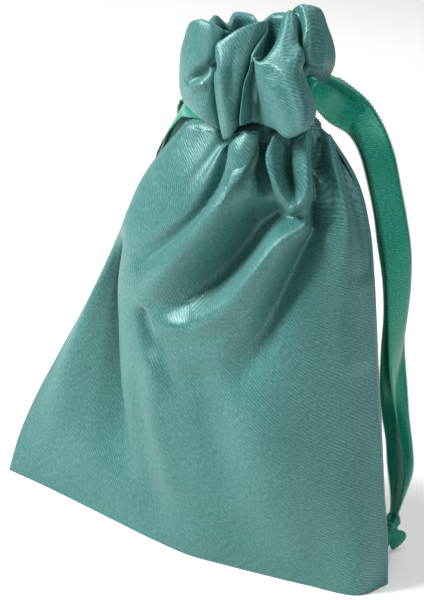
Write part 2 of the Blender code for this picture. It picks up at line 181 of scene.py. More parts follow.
# How far the middle of the back stands out at rising heights, and how square its outline is.
BACK_DEPTHS = [(0, 9.6), (12, 13.0), (30, 16.4), (45, 17.2), (65, 16.4), (84, 13.2), (94, 10.8),
               (103, 7.8)]
BACK_SQUARENESS = 0.9


def edges_at(heights):
    """X of the left and right side seams."""
    knots = list(FRONT_SECTIONS)
    pairs = [(FRONT_SECTIONS[knot][0][0], FRONT_SECTIONS[knot][-1][0]) for knot in knots]
    return hermite(heights, knots, pairs)


def front_row(height, columns):
    """One row of the front, spread evenly along its own length."""
    knots = list(FRONT_SECTIONS)
    sections = np.array([FRONT_SECTIONS[knot] for knot in knots], float)
    flat = sections.reshape(len(knots), -1)
    section = hermite(np.array([height]), knots, flat)[0].reshape(-1, 2)
    fine = hermite(np.linspace(0, len(section) - 1, CURVE_SAMPLES), np.arange(len(section)), section)
    row = resample(fine, np.linspace(0, 1, columns + 1))
    depth = np.maximum(row[:, 1], SEAM_HALF_GAP)
    return np.stack([row[:, 0], -depth, np.full(columns + 1, height)], 1)


def back_row(height, columns):
    """One row of the back, from the right side seam round to the left one."""
    left, right = edges_at(np.array([height]))[0]
    knots, depths = zip(*BACK_DEPTHS)
    depth = hermite(np.array([height]), knots, depths)[0]
    angle = np.linspace(0, pi, CURVE_SAMPLES)
    fine = np.stack([(left + right) / 2 + (right - left) / 2 * np.cos(angle),
                     SEAM_HALF_GAP + depth * np.sin(angle) ** BACK_SQUARENESS], 1)
    row = resample(fine, np.linspace(0, 1, columns + 1))
    return np.stack([row[:, 0], row[:, 1], np.full(columns + 1, height)], 1)


# ---- Ruffle -----------------------------------------------------------
# Ribs of the gathered mouth, from the left side seam round the front to the right one.
# Each has its place round the neck in degrees (180 left, 270 front, 360 right), how tightly it is
# drawn in there, and its four outer points: the drooping lip, the fullest point, the upper part
# and the top edge. Ribs alternate between the crowns of the lobes and the valleys between them.
FRONT_RIBS = [
    (180, 1.00, (-12, 0, 108), (-13, 0.5, 113.5), (-12.2, 0.5, 119), (-10, -0.5, 124.5)),
    (196, 0.84, (-11.5, -3, 108), (-11.8, -3.2, 113.5), (-11, -3.2, 119), (-9, -3.6, 124)),
    (205, 0.95, (-12.9, -5, 106.7), (-14.4, -5.4, 113.1), (-14.2, -5.4, 119.2), (-11.9, -5.6, 123.9)),
    (217, 1.02, (-8.9, -10, 105.6), (-9, -11.6, 113.6), (-9.2, -10.8, 120.8), (-9.2, -8.6, 126)),
    (231, 1.02, (-4.8, -11.7, 104.3), (-4.4, -12.2, 113), (-5.4, -11.2, 120.1), (-6, -9.2, 125.6)),
    (243, 0.96, (-1.7, -11, 103.3), (-2.9, -9.6, 111.6), (-3.8, -9.2, 119.3), (-4, -8.6, 124.6)),
    (249, 0.84, (-1.4, -8.5, 102.5), (-2.6, -7, 110.6), (-3.8, -6.7, 118.1), (-3.3, -7, 123.6)),
    (255, 0.98, (0.2, -12, 101.5), (-2.9, -13, 112), (-3.9, -12.5, 118.4), (-3.6, -10.6, 122.9)),
    (263, 1.04, (1.8, -12.7, 102.7), (-0.2, -14.2, 113.3), (-0.8, -13.2, 119.2), (-0.6, -9.4, 125.9)),
    (270, 0.98, (2.6, -11.4, 104.6), (2.7, -12.2, 114.6), (2.7, -11, 120.6), (2.6, -6.4, 127.6)),
    (276, 0.82, (2.6, -9.4, 104.8), (2.7, -8.8, 113.9), (3.4, -7.6, 119), (4, -3.6, 127)),
    (281, 1.06, (4.4, -13.9, 106.2), (3.7, -13.4, 114.6), (4.2, -12.4, 118.6), (3.7, -9.8, 121)),
    (286, 0.82, (5.6, -9.4, 106), (4.6, -8.8, 114.5), (4.7, -8.6, 117.6), (4.7, -8, 120.2)),
    (293, 0.98, (11.3, -12.2, 106.6), (7.7, -13.2, 113.7), (5.9, -13, 118), (4.5, -11.5, 120.7)),
    (304, 1.04, (15.4, -14.2, 106), (13, -15.6, 114.3), (9.6, -14.2, 118.6), (6.8, -12, 121.1)),
    (317, 1.02, (18.4, -13.4, 108), (16.3, -14.5, 115.2), (12.4, -12, 122.3), (8, -8.2, 125)),
    (329, 0.96, (19, -10.2, 110.6), (16.4, -11, 116.3), (13, -8.2, 123.8), (7.6, -3, 129.8)),
    (338, 0.82, (13.6, -5.2, 113.4), (13, -4.8, 118.8), (11.6, -3.4, 124.4), (8.8, -0.6, 129.6)),
    (346, 0.96, (15, -4.2, 116), (14.9, -5.2, 121.6), (13.3, -4.2, 127.3), (9.2, -0.4, 131.5)),
    (360, 1.02, (16.2, -0.4, 115), (17.1, -1, 122), (14.7, -0.4, 128.1), (10.9, 1.6, 131.5)),
]
# The same for the back, from the right side seam round to the left one. It shares its first
# and last rib with the front.
BACK_RIBS = [
    (0, *FRONT_RIBS[-1][1:]),
    (14, 1.00, (16.4, 4.8, 114.4), (17.2, 5.2, 120.6), (14.8, 5.2, 126.2), (11.4, 5.8, 129.8)),
    (26, 0.84, (12.4, 4.6, 112.6), (12.6, 5, 118.4), (11.6, 5.4, 123.6), (9.6, 5.6, 127.8)),
    (38, 1.00, (12.6, 8.8, 110.6), (13.6, 10.4, 117), (12.2, 10.2, 122.6), (10.2, 8.8, 127.2)),
    (50, 1.02, (8.8, 10.4, 109.4), (9.2, 12.4, 115.6), (8, 12, 121.6), (7.2, 10, 127)),
    (60, 0.84, (6.6, 7.2, 110), (6.6, 7.6, 116), (6.2, 7.6, 121), (5.8, 7.2, 125.8)),
    (72, 1.02, (5, 11, 107.2), (5, 12.8, 114.2), (4.2, 12.2, 120.6), (3.8, 10.2, 126.4)),
    (90, 1.03, (0.8, 11.4, 105.8), (0.4, 13.2, 113.4), (0, 12.4, 119.8), (0, 10.4, 125.6)),
    (104, 0.84, (-1.4, 7.4, 106.8), (-1.6, 7.8, 113.2), (-1.8, 7.6, 118.8), (-1.8, 7.2, 123.8)),
    (116, 1.02, (-4.4, 10.6, 104.6), (-4.8, 12.6, 112), (-5.2, 12, 118.6), (-5, 9.8, 124.4)),
    (132, 1.02, (-8.2, 8.8, 104.2), (-9.4, 10.6, 111.6), (-9.4, 10.2, 118.2), (-8.4, 8.4, 124.4)),
    (146, 0.84, (-8.6, 4.8, 105.6), (-9.4, 5.2, 112), (-9.2, 5, 117.6), (-8.4, 4.4, 122.6)),
    (162, 1.00, (-12, 3.8, 106), (-13.2, 4.8, 112.6), (-12.6, 4.6, 118.6), (-10.6, 3.4, 124.2)),
    FRONT_RIBS[0],
]
# The hem goes down from the top edge at these insets, then inside the neck down to its end.
HEM_DROPS = (0.6, 3.5, 9.0)
HEM_INSETS = (0.8, 1.3, 1.9)
HEM_NECK_SHARE = 0.80
HEM_NECK_RISE = WAIST_RISE + 2.0
HEM_END_SHARE = 0.84
HEM_END_RISE = FOOT_RISE - 1.0
# The waist is drawn in a little more than the neck, and below the lip the cloth turns back to it.
WAIST_SHARE = 0.94
TURN_SHARE = 0.45
TURN_BELOW_LIP = 1.5
TURN_ROUNDING = 0.9
# A tightly drawn rib is less tight at the foot.
FOOT_LOOSENESS = 0.4
FOOT_LEAN = 0.5


def neck_height(x):
    """How much higher the leaning neck is at this X than in its middle."""
    return NECK_LEAN * (x - NECK_CENTRE[0])


def neck_point(angle, tightness, rise):
    """A point of the drawn-in neck, at a height above the floor in its middle."""
    x = NECK_CENTRE[0] + NECK_HALF_WIDTH * tightness * cos(radians(angle))
    y = NECK_CENTRE[1] + NECK_HALF_DEPTH * tightness * sin(radians(angle))
    return np.array([x, y, rise + neck_height(x)])


def foot_point(angle, tightness):
    """A point of the wider ring below the neck, where the body's shoulders begin."""
    width_share = FOOT_LOOSENESS + (1.0 - FOOT_LOOSENESS) * tightness
    x = FOOT_CENTRE + FOOT_HALF_WIDTH * width_share * cos(radians(angle))
    y = FOOT_HALF_DEPTH * tightness * sin(radians(angle))
    return np.array([x, y, FOOT_RISE + FOOT_LEAN * neck_height(x)])


def rib_points(rib):
    """All the points of one rib: neck, lip, crown, top edge, then the hem turned inside."""
    angle, tightness, *outer = rib
    outer = [np.array(point) for point in outer]
    lip = outer[0]
    top = outer[-1]
    foot = foot_point(angle, tightness)
    waist = neck_point(angle, WAIST_SHARE * tightness, WAIST_RISE)
    turn = waist * (1.0 - TURN_SHARE) + lip * TURN_SHARE
    turn[2] = min(waist[2], lip[2] + TURN_BELOW_LIP) + TURN_ROUNDING
    inward = np.array([NECK_CENTRE[0], 0.0, 0.0]) - top
    inward[2] = 0.0
    inward /= max(np.linalg.norm(inward), 1.0)
    hem = [top + inward * inset - np.array([0, 0, drop]) for drop, inset in zip(HEM_DROPS, HEM_INSETS)]
    hem.append(neck_point(angle, HEM_NECK_SHARE * tightness, HEM_NECK_RISE))
    hem.append(neck_point(angle, HEM_END_SHARE * tightness, HEM_END_RISE))
    return np.array([foot, waist, turn, *outer, *hem])


# The lip, the fullest point and the upper part among a rib's points: the ruffle's outer face.
FACE_POINTS = slice(3, 6)


def make_header(ribs, columns):
    """The ruffle as rows of points, from the neck's foot over the top edge and down the hem."""
    cage = np.array([rib_points(rib) for rib in ribs])
    faces = cage[:, FACE_POINTS].mean(1)
    widths = np.linalg.norm(np.diff(faces, axis=0), axis=1)
    shares = np.concatenate([[0.0], np.cumsum(widths)]) / widths.sum()
    fine = hermite(np.linspace(0, 1, columns + 1), shares, cage.reshape(len(ribs), -1))
    fine = fine.reshape(columns + 1, cage.shape[1], 3)
    steps = np.linalg.norm(np.diff(cage, axis=1), axis=2).mean(0)
    knots = np.concatenate([[0.0], np.cumsum(steps)]) / steps.sum()
    climbs = np.linspace(0, 1, HEADER_ROWS)
    rows = hermite(climbs, knots, fine.transpose(1, 0, 2).reshape(len(knots), -1))
    return rows.reshape(HEADER_ROWS, columns + 1, 3)


# ---- Folds ------------------------------------------------------------
# Each fold runs down through its points: (across X, height, how far it stands out, half width).
FRONT_FOLDS = [
    # the thin crease round the smooth shoulder
    [(-2, 104, -3, 1.1), (0, 98, -3.6, 1.2), (-0.4, 92, -3.4, 1.3), (-2, 86, -3, 1.5),
     (-5, 81, -2.7, 1.7), (-10, 75, -2.2, 2), (-15, 70, -0.8, 2.4)],
    # the long ridge from the neck's middle down to the left
    [(4, 105, 5.4, 1.9), (3.8, 99, 5.6, 2.6), (4.4, 95, 5.2, 3.1), (4.4, 91, 4.9, 3.5),
     (2.2, 85, 4.8, 3.8), (-2.2, 77.5, 4.3, 3.9), (-7.4, 70, 3.2, 3.8), (-12.6, 62, 1.2, 3.4)],
    # the dark hollow beside it
    [(18, 88, -2.8, 1.6), (14, 87.4, -5.6, 2.7), (10.6, 84.6, -7.4, 3.9), (7.6, 79, -8, 4.8),
     (3.6, 71.5, -6.4, 5), (-2, 63, -3, 4.4)],
    # the second ridge and hollow
    [(22, 86, 2.2, 1.8), (18.6, 84, 3.6, 2.4), (15.2, 80, 4.6, 3), (12, 73.6, 4.8, 3.4),
     (7.4, 66, 3.8, 3.7), (0, 60, 2.4, 3.6), (-8, 56, 0.8, 3)],
    [(23.4, 90, -3, 1.4), (23.4, 85, -4.6, 1.9), (22.2, 80, -5.2, 2.4), (20.2, 72, -5.2, 2.9),
     (17, 62, -4.2, 3.5), (13, 50, -2, 4.4), (9, 38, -0.6, 5.4)],
    # a dimple at the belly's left edge
    [(-13, 57.5, -1.6, 1.5), (-10.4, 53, -1.7, 1.7), (-6.5, 48.5, -1.4, 2.1), (-2, 43, -0.6, 3)],
    # the narrow valley, ridge and seam shadow at the right
    [(18.4, 104, -3.2, 1.1), (20.8, 98, -4.2, 1.2), (22.6, 93, -4.2, 1.4), (23.4, 87, -3, 1.8)],
    [(19.6, 104, 1.4, 1.2), (23.4, 97, 2.2, 1.7), (26.6, 90, 2.6, 2.2), (29.4, 82, 2.3, 2.7),
     (32, 70, 1.2, 3.2), (35, 56, 0.6, 3.4)],
    [(22, 103, -1.2, 0.9), (26.6, 95, -1.6, 1.1), (29.8, 87, -1.6, 1.4), (33.6, 76, -0.9, 2)],
    # between the long ridge and the pleat, and inside the pleat
    [(8.2, 104, -3, 1.3), (8.6, 98, -3.4, 1.5), (10.4, 93.5, -2.4, 1.6), (12.6, 90.4, -1.4, 1.8)],
    [(13, 104, -3.4, 1.3), (14.4, 98, -4.8, 1.5), (16.6, 94, -3.8, 1.3), (17.8, 91.4, -1.4, 0.9)],
    # soft pulls on the shoulder and the belly
    [(-9, 103, 1.2, 1.8), (-12, 97, 1.2, 2.4), (-16, 90, 0.6, 3)],
    [(16, 42, 1.2, 7), (24, 25, 1.5, 8), (30, 8, 0.3, 8)],
    [(4, 46, -1.6, 4.4), (9, 32, -1.9, 5.2), (18, 14, -0.9, 6.4)],
    [(-8, 46, 1.1, 3.6), (-6, 34, 1.5, 4), (-2, 20, 0.9, 4.6)],
    [(-13, 40, -1, 2.8), (-11.6, 30, -1.6, 3.2), (-8.6, 18, -1.2, 3.8), (-5, 6, -0.3, 4)],
]
# Creases and ridges in the front of the ruffle: dents below a fold, then a lit lip or a drawn ridge.
RUFFLE_FOLDS = [
    [(-10.4, 112.4, -0.5, 0.8), (-8.8, 113.8, -1.9, 1), (-6.8, 115.6, -2.2, 1.1),
     (-4.8, 117.4, -1.6, 1.1)],
    [(-10.2, 110.6, 0.3, 0.9), (-8.4, 111.4, 0.9, 0.9), (-6.2, 112.8, 0.8, 0.9)],
    [(-3.6, 121.6, 0.4, 1), (-1.8, 118.6, 1, 1.2), (-0.6, 112.6, 0.9, 1.2), (1.2, 106.4, 0.5, 1.1)],
    [(0.2, 121.6, -0.3, 0.7), (0.4, 117.6, -0.6, 0.8), (1, 112.6, -0.4, 0.8)],
    [(7.6, 121, 0.2, 0.8), (12.2, 119.8, 0.8, 0.9), (15.8, 116.2, 1.2, 1), (18, 112.2, 1.2, 1),
     (19, 109, 0.5, 0.9)],
    [(13, 127, 0.3, 0.7), (13.6, 122.6, 0.9, 0.8), (16.2, 120.4, 0.7, 0.8)],
]
# The tucked pleat under the large lobe: its two sharp edges, which meet in a hanging tip.
PLEAT_EDGES = [
    [(10.4, 105, 2.6, 0.8), (11.2, 98.6, 3.2, 0.8), (14, 93.4, 3.2, 0.75), (17.2, 89.2, 2.4, 0.7)],
    [(15.6, 105, 3, 0.8), (17.4, 99.4, 3.4, 0.8), (18.8, 95.6, 3.2, 0.8), (19.2, 92.2, 2.8, 0.8),
     (17.6, 89.2, 2.4, 0.7)],
]
BACK_FOLDS = [
    [(13, 104, 3.2, 1.6), (17, 94, 3.8, 2.2), (22, 80, 2.2, 3.2), (27, 62, 1, 4.4)],
    [(10, 104, -2.2, 1.4), (13.4, 94, -2.6, 2), (17, 80, -2.2, 3), (20, 64, -1, 4)],
    [(6.6, 104, 2.4, 1.6), (9, 94, 3, 2.2), (11, 80, 2.6, 3.2), (13, 60, 1.6, 4.4), (14, 42, 0.6, 6)],
    [(3.6, 104, -2.2, 1.4), (5, 94, -2.8, 2), (5, 78, -2.2, 3), (3, 60, -1.2, 4.2), (0, 44, -0.4, 6)],
    [(0, 104, 2.4, 1.6), (0.6, 94, 2.8, 2.2), (-1, 80, 2.4, 3.4), (-5, 64, 1.4, 4.6)],
    [(-3, 104, -2.2, 1.4), (-4, 94, -2.6, 2), (-7, 80, -2, 3), (-12, 66, -0.8, 4)],
    [(-6.6, 104, 2.2, 1.5), (-8.6, 94, 2.6, 2.2), (-13, 80, 2, 3.2), (-19, 64, 0.9, 4.4)],
    [(-9.6, 104, -1.8, 1.3), (-13, 94, -2, 1.8), (-18, 82, -1.4, 2.8), (-24, 68, -0.6, 3.6)],
    [(20, 40, -0.8, 8), (28, 24, -0.8, 8), (36, 8, -0.2, 7)],
    [(-14, 46, -0.9, 7), (-24, 30, -1, 8), (-34, 10, -0.3, 7)],
]


FOLD_SAMPLES = 60
FOLD_REACH = 60.0
SHARPNESS = 1.2


def fold_lift(across, height, fold, sharp):
    """How far one fold moves each point of the cloth outwards."""
    route = smooth_route(fold, FOLD_SAMPLES)
    place = np.stack([across.ravel(), height.ravel()], 1)
    lift = np.zeros(len(place))
    near = np.linalg.norm(place - route[:, :2].mean(0), axis=1) < FOLD_REACH
    gaps = np.linalg.norm(place[near][:, None] - route[None, :, :2], axis=2)
    closest = gaps.argmin(1)
    share = gaps.min(1) / route[closest, 3]
    steep = SHARPNESS * share
    shape = np.exp(-steep) * (1 + steep) if sharp else bump(share)
    lift[near] = route[closest, 2] * shape
    return lift.reshape(across.shape)


def outward_of(rows):
    """The cloth's outward direction at each point of a grid."""
    outward = np.cross(np.gradient(rows, axis=1), np.gradient(rows, axis=0))
    return outward / np.maximum(np.linalg.norm(outward, axis=2, keepdims=True), 1e-9)


def add_folds(rows, weights, soft_folds, sharp_folds=()):
    """Raise a panel's folds along the cloth's own outward direction."""
    across = rows[..., 0]
    height = rows[..., 2]
    lift = sum(fold_lift(across, height, fold, False) for fold in soft_folds)
    for fold in sharp_folds:
        lift = lift + fold_lift(across, height, fold, True)
    return rows + outward_of(rows) * (lift * weights)[..., None]


# Over how many rows the body's folds grow at the base, and fade above the neck's foot.
BASE_FADE_ROWS = BASE_ROWS + 6
BASE_FADE_START = -0.6
NECK_FADE_ROWS = 12
# The header's rows where the ruffle's own folds start, are full, begin to fade and end.
RUFFLE_FOLD_ROWS = (26, 34, 74, 84)


def body_weights(rows, body_rows):
    """1 on the body, growing from the bottom seam and falling to 0 just above the neck's foot."""
    weights = np.zeros(rows.shape[:2])
    weights[:body_rows] = 1.0
    weights[:BASE_FADE_ROWS] = ease(np.linspace(BASE_FADE_START, 1, BASE_FADE_ROWS))[:, None]
    weights[body_rows:body_rows + NECK_FADE_ROWS] = ease(np.linspace(1, 0, NECK_FADE_ROWS))[:, None]
    return weights


def ruffle_weights(rows, header_start):
    """1 on the ruffle's outer face, falling to 0 at its foot and at its top edge."""
    start, full, fading, end = RUFFLE_FOLD_ROWS
    number = np.arange(len(rows)) - header_start
    weight = ease((number - start) / (full - start)) * ease((end - number) / (end - fading))
    return weight[:, None] * np.ones((1, rows.shape[1]))


# ---- Whole panels -----------------------------------------------------
BOTTOM_SEAM_INSET = 0.06
BOTTOM_SEAM_RISE = 0.3
JOIN_START = 0.80
JOIN_POWER = 1.5


def body_rows_of(make_row, columns):
    """Rows of points of a panel's base and side, from the bottom seam up to the neck's foot."""
    base_edge = make_row(0.0, columns)
    rows = []
    for step in range(BASE_ROWS):
        share = step / BASE_ROWS
        row = base_edge.copy()
        row[:, 0] *= 1.0 - BOTTOM_SEAM_INSET * (1.0 - share)
        row[:, 1] = row[:, 1] * share + np.sign(base_edge[:, 1]) * SEAM_HALF_GAP * (1 - share)
        row[:, 2] = BOTTOM_SEAM_RISE * (1.0 - share)
        rows.append(row)
    for height in np.linspace(0.0, BODY_TOP, BODY_ROWS):
        rows.append(make_row(height, columns))
    return np.array(rows)


def join_neck(body, header):
    """Bend the body's top rows onto the header's foot, pleats and all."""
    step = header[0] - body[-1]
    for index, share in enumerate(np.linspace(0.0, 1.0, len(body))):
        body[index] += step * ease((share - JOIN_START) / (1.0 - JOIN_START)) ** JOIN_POWER
    return body


def panel_rows(face):
    """All the rows of points of one panel, folds and all, and how many belong to the body."""
    if face == "front":
        body = body_rows_of(front_row, FRONT_COLUMNS)
        header = make_header(FRONT_RIBS, FRONT_COLUMNS)
    else:
        body = body_rows_of(back_row, BACK_COLUMNS)
        header = make_header(BACK_RIBS, BACK_COLUMNS)
    rows = np.concatenate([join_neck(body, header), header[1:]])
    weights = body_weights(rows, len(body))
    if face == "front":
        rows = add_folds(rows, weights, FRONT_FOLDS, PLEAT_EDGES)
        rows = add_folds(rows, ruffle_weights(rows, len(body)), RUFFLE_FOLDS)
    else:
        rows = add_folds(rows, weights, BACK_FOLDS)
    return rows, len(body)


# How many neighbours the cloth's coordinates are averaged over, so that its weave runs straight.
ACROSS_SMOOTHING = 30
ALONG_SMOOTHING = 45


def grid_mesh(name, rows):
    """A mesh through a grid of points, with flat cloth coordinates in metres as its UV map."""
    count_rows, count_columns = rows.shape[:2]
    points = rows.reshape(-1, 3) * MM
    first = (np.arange(count_rows - 1)[:, None] * count_columns + np.arange(count_columns - 1)).ravel()
    faces = np.stack([first, first + 1, first + count_columns + 1, first + count_columns], 1)
    mesh = bpy.data.meshes.new(name)
    mesh.vertices.add(len(points))
    mesh.vertices.foreach_set("co", points.astype(np.float32).ravel())
    mesh.loops.add(faces.size)
    mesh.loops.foreach_set("vertex_index", faces.astype(np.int32).ravel())
    mesh.polygons.add(len(faces))
    mesh.polygons.foreach_set("loop_start", (np.arange(len(faces)) * 4).astype(np.int32))
    mesh.polygons.foreach_set("loop_total", np.full(len(faces), 4, np.int32))
    mesh.update(calc_edges=True)
    mesh.shade_smooth()
    across = running_lengths(rows)
    across -= across[:, [count_columns // 2]]
    along = running_lengths(rows.transpose(1, 0, 2)).T
    across = smoothed(across.T, ACROSS_SMOOTHING).T
    along = smoothed(along, ALONG_SMOOTHING)
    layer = mesh.uv_layers.new(name="ClothUV")
    flat = np.stack([across, along], 2).reshape(-1, 2) * MM
    layer.data.foreach_set("uv", flat[faces.ravel()].astype(np.float32).ravel())
    mesh.validate()
    return mesh


def add_object(name, data, material):
    piece = bpy.data.objects.new(name, data)
    bpy.context.scene.collection.objects.link(piece)
    data.materials.clear()
    data.materials.append(material)
    return piece


# ---- Materials --------------------------------------------------------
def base_material(name):
    material = bpy.data.materials.new(name)
    material.use_nodes = True
    return material, material.node_tree.nodes, material.node_tree.links


def math_node(nodes, links, operation, first, second=None):
    """A Math node; each input is a number or another node's output."""
    node = nodes.new("ShaderNodeMath")
    node.operation = operation
    for socket, value in zip(node.inputs, (first, second)):
        if value is None:
            continue
        if isinstance(value, (int, float)):
            socket.default_value = value
        else:
            links.new(value, socket)
    return node.outputs[0]


def cloth_coordinates(nodes, links):
    """Distances across and along the flat cloth, in metres."""
    uv = nodes.new("ShaderNodeUVMap")
    uv.uv_map = "ClothUV"
    split = nodes.new("ShaderNodeSeparateXYZ")
    links.new(uv.outputs["UV"], split.inputs["Vector"])
    return split.outputs["X"], split.outputs["Y"]


def slanted(nodes, links, across, along, slope, pitch):
    """A count of lines, pitch apart, that run slope degrees below the cloth's width."""
    by_width = math_node(nodes, links, "MULTIPLY", across, sin(radians(slope)) / pitch)
    by_length = math_node(nodes, links, "MULTIPLY", along, cos(radians(slope)) / pitch)
    return math_node(nodes, links, "ADD", by_width, by_length)


def lines(nodes, links, count):
    """0 to 1 and back for each line."""
    wave = math_node(nodes, links, "SINE", math_node(nodes, links, "MULTIPLY", count, 2 * pi))
    half = math_node(nodes, links, "MULTIPLY", wave, 0.5)
    return math_node(nodes, links, "ADD", half, 0.5)


def noise(nodes, links, x, y, detail=1.0):
    """Soft noise over two coordinates that are already scaled."""
    place = nodes.new("ShaderNodeCombineXYZ")
    links.new(x, place.inputs["X"])
    links.new(y, place.inputs["Y"])
    texture = nodes.new("ShaderNodeTexNoise")
    texture.inputs["Scale"].default_value = 1.0
    texture.inputs["Detail"].default_value = detail
    links.new(place.outputs["Vector"], texture.inputs["Vector"])
    return texture.outputs["Fac"]


def ramp(nodes, links, value, stops):
    """A colour ramp through the stops: (position, colour), from the lowest to the highest."""
    node = nodes.new("ShaderNodeValToRGB")
    elements = node.color_ramp.elements
    for element, (position, colour) in zip(elements, (stops[0], stops[-1])):
        element.position = position
        element.color = (*colour, 1.0)
    for position, colour in stops[1:-1]:
        elements.new(position).color = (*colour, 1.0)
    links.new(value, node.inputs["Fac"])
    return node.outputs["Color"]


# What a weave's tone is mixed from: its lines, the floats that break them, and soft patches of
# so many to a metre across and along the cloth.
LINE_SHARE = 0.24
FLOAT_SHARE = 0.86
FLOAT_LENGTH = 1.6
FLOAT_STEP = 1.7
PATCH_SHARE = 0.25
PATCHES_ACROSS = 90.0
PATCHES_ALONG = 70.0
TONE_OFFSET = 0.15
# Threads on top are a little smoother than those between.
ROUGHER = 0.09
SMOOTHER = 0.06


def woven_material(name, slope, pitch, stops, roughness, depth, gloss, tint):
    """A satin weave: slanted lines broken into floats, with a directional gloss."""
    material, nodes, links = base_material(name)
    shader = nodes["Principled BSDF"]
    across, along = cloth_coordinates(nodes, links)
    count = slanted(nodes, links, across, along, slope, pitch)
    crossing = slanted(nodes, links, across, along, slope - 90.0, FLOAT_LENGTH * pitch)
    line = lines(nodes, links, count)
    floats = noise(nodes, links, crossing, math_node(nodes, links, "MULTIPLY", count, FLOAT_STEP))
    patches = noise(nodes, links, math_node(nodes, links, "MULTIPLY", across, PATCHES_ACROSS),
                    math_node(nodes, links, "MULTIPLY", along, PATCHES_ALONG), 3.0)
    weave = math_node(nodes, links, "ADD", math_node(nodes, links, "MULTIPLY", line, LINE_SHARE),
                      math_node(nodes, links, "MULTIPLY", floats, FLOAT_SHARE))
    tone = math_node(nodes, links, "ADD", weave, math_node(nodes, links, "MULTIPLY", patches, PATCH_SHARE))
    tone = math_node(nodes, links, "SUBTRACT", tone, TONE_OFFSET)
    links.new(ramp(nodes, links, tone, stops), shader.inputs["Base Color"])
    rough = nodes.new("ShaderNodeMapRange")
    rough.inputs["To Min"].default_value = roughness + ROUGHER
    rough.inputs["To Max"].default_value = roughness - SMOOTHER
    links.new(weave, rough.inputs["Value"])
    links.new(rough.outputs["Result"], shader.inputs["Roughness"])
    relief = nodes.new("ShaderNodeBump")
    relief.inputs["Strength"].default_value = 0.55
    relief.inputs["Distance"].default_value = depth
    links.new(weave, relief.inputs["Height"])
    links.new(relief.outputs["Normal"], shader.inputs["Normal"])
    tangent = nodes.new("ShaderNodeTangent")
    tangent.direction_type = "UV_MAP"
    tangent.uv_map = "ClothUV"
    links.new(tangent.outputs["Tangent"], shader.inputs["Tangent"])
    finish = {"Anisotropic": 0.55, "Specular IOR Level": gloss, "Specular Tint": tint,
              "Sheen Weight": 0.12, "Sheen Roughness": 0.4, "Sheen Tint": (0.6, 0.95, 0.9, 1.0)}
    for socket, value in finish.items():
        shader.inputs[socket].default_value = value
    return material


def satin_material():
    stops = [(0.15, (0.010, 0.058, 0.055)), (0.5, (0.026, 0.112, 0.106)), (0.9, (0.072, 0.215, 0.203))]
    return woven_material("satin_cloth", slope=38.0, pitch=0.00062, stops=stops, roughness=0.46,
                          depth=0.00011, gloss=0.85, tint=(0.62, 0.95, 0.92, 1.0))


def ribbon_material():
    stops = [(0.15, (0.0008, 0.034, 0.021)), (0.5, (0.002, 0.125, 0.080)), (0.9, (0.008, 0.360, 0.240))]
    return woven_material("ribbon_satin", slope=24.0, pitch=0.00042, stops=stops, roughness=0.32,
                          depth=0.00004, gloss=0.6, tint=(0.35, 1.0, 0.8, 1.0))


def thread_material():
    material, nodes, links = base_material("thread")
    shader = nodes["Principled BSDF"]
    place = nodes.new("ShaderNodeTexCoord")
    texture = nodes.new("ShaderNodeTexNoise")
    texture.inputs["Scale"].default_value = 4000.0
    links.new(place.outputs["Object"], texture.inputs["Vector"])
    stops = [(0.3, (0.015, 0.085, 0.075)), (0.7, (0.060, 0.210, 0.190))]
    links.new(ramp(nodes, links, texture.outputs["Fac"], stops), shader.inputs["Base Color"])
    shader.inputs["Roughness"].default_value = 0.7
    return material


# ---- Camera, light and floor ------------------------------------------
CAMERA_AZIMUTH = 20.0
CAMERA_ELEVATION = 22.0
CAMERA_ROLL = 7.2
CAMERA_DISTANCE = 0.5
CAMERA_LENS = 129.3
CAMERA_TARGET = Vector((-0.0023, 0.0, 0.0586))
# Name, place, what it shines at, side of its square, power and colour.
LIGHTS = [
    ("key", (-0.48, -0.34, 0.58), (0, 0, 0.06), 0.24, 12.2, (1.0, 0.99, 0.97)),
    ("fill", (0.55, -0.55, 0.25), (0, 0, 0.06), 0.4, 0.8, (0.95, 0.98, 1.0)),
    ("rim", (0.50, -0.22, 0.46), (0.02, 0, 0.08), 0.2, 1.0, (1.0, 1.0, 1.0)),
    ("top", (0.10, 0.30, 0.8), (0, 0, 0.06), 0.4, 3.0, (1.0, 1.0, 1.0)),
]
SKY_STRENGTH = 0.15
FLOOR_SIDE = 3.0
FLOOR_COLOUR = (0.93, 0.93, 0.925, 1.0)


def make_camera():
    data = bpy.data.cameras.new("camera")
    data.lens = CAMERA_LENS
    data.sensor_width = 36.0
    data.sensor_fit = "AUTO"
    data.clip_start = 0.01
    data.clip_end = 20.0
    camera = bpy.data.objects.new("camera", data)
    bpy.context.scene.collection.objects.link(camera)
    azimuth = radians(CAMERA_AZIMUTH)
    elevation = radians(CAMERA_ELEVATION)
    back = Vector((sin(azimuth) * cos(elevation), -cos(azimuth) * cos(elevation), sin(elevation)))
    camera.location = CAMERA_TARGET + back * CAMERA_DISTANCE
    level = (-back).to_track_quat("-Z", "Y")
    camera.rotation_mode = "QUATERNION"
    camera.rotation_quaternion = level @ Quaternion((0, 0, 1), radians(CAMERA_ROLL))
    bpy.context.scene.camera = camera


def make_area_light(name, place, target, size, power, colour):
    data = bpy.data.lights.new(name, "AREA")
    data.shape = "RECTANGLE"
    data.size = size
    data.size_y = size
    data.energy = power
    data.color = colour
    light = bpy.data.objects.new(name, data)
    light.location = place
    light.rotation_mode = "QUATERNION"
    light.rotation_quaternion = (Vector(target) - Vector(place)).to_track_quat("-Z", "Y")
    bpy.context.scene.collection.objects.link(light)


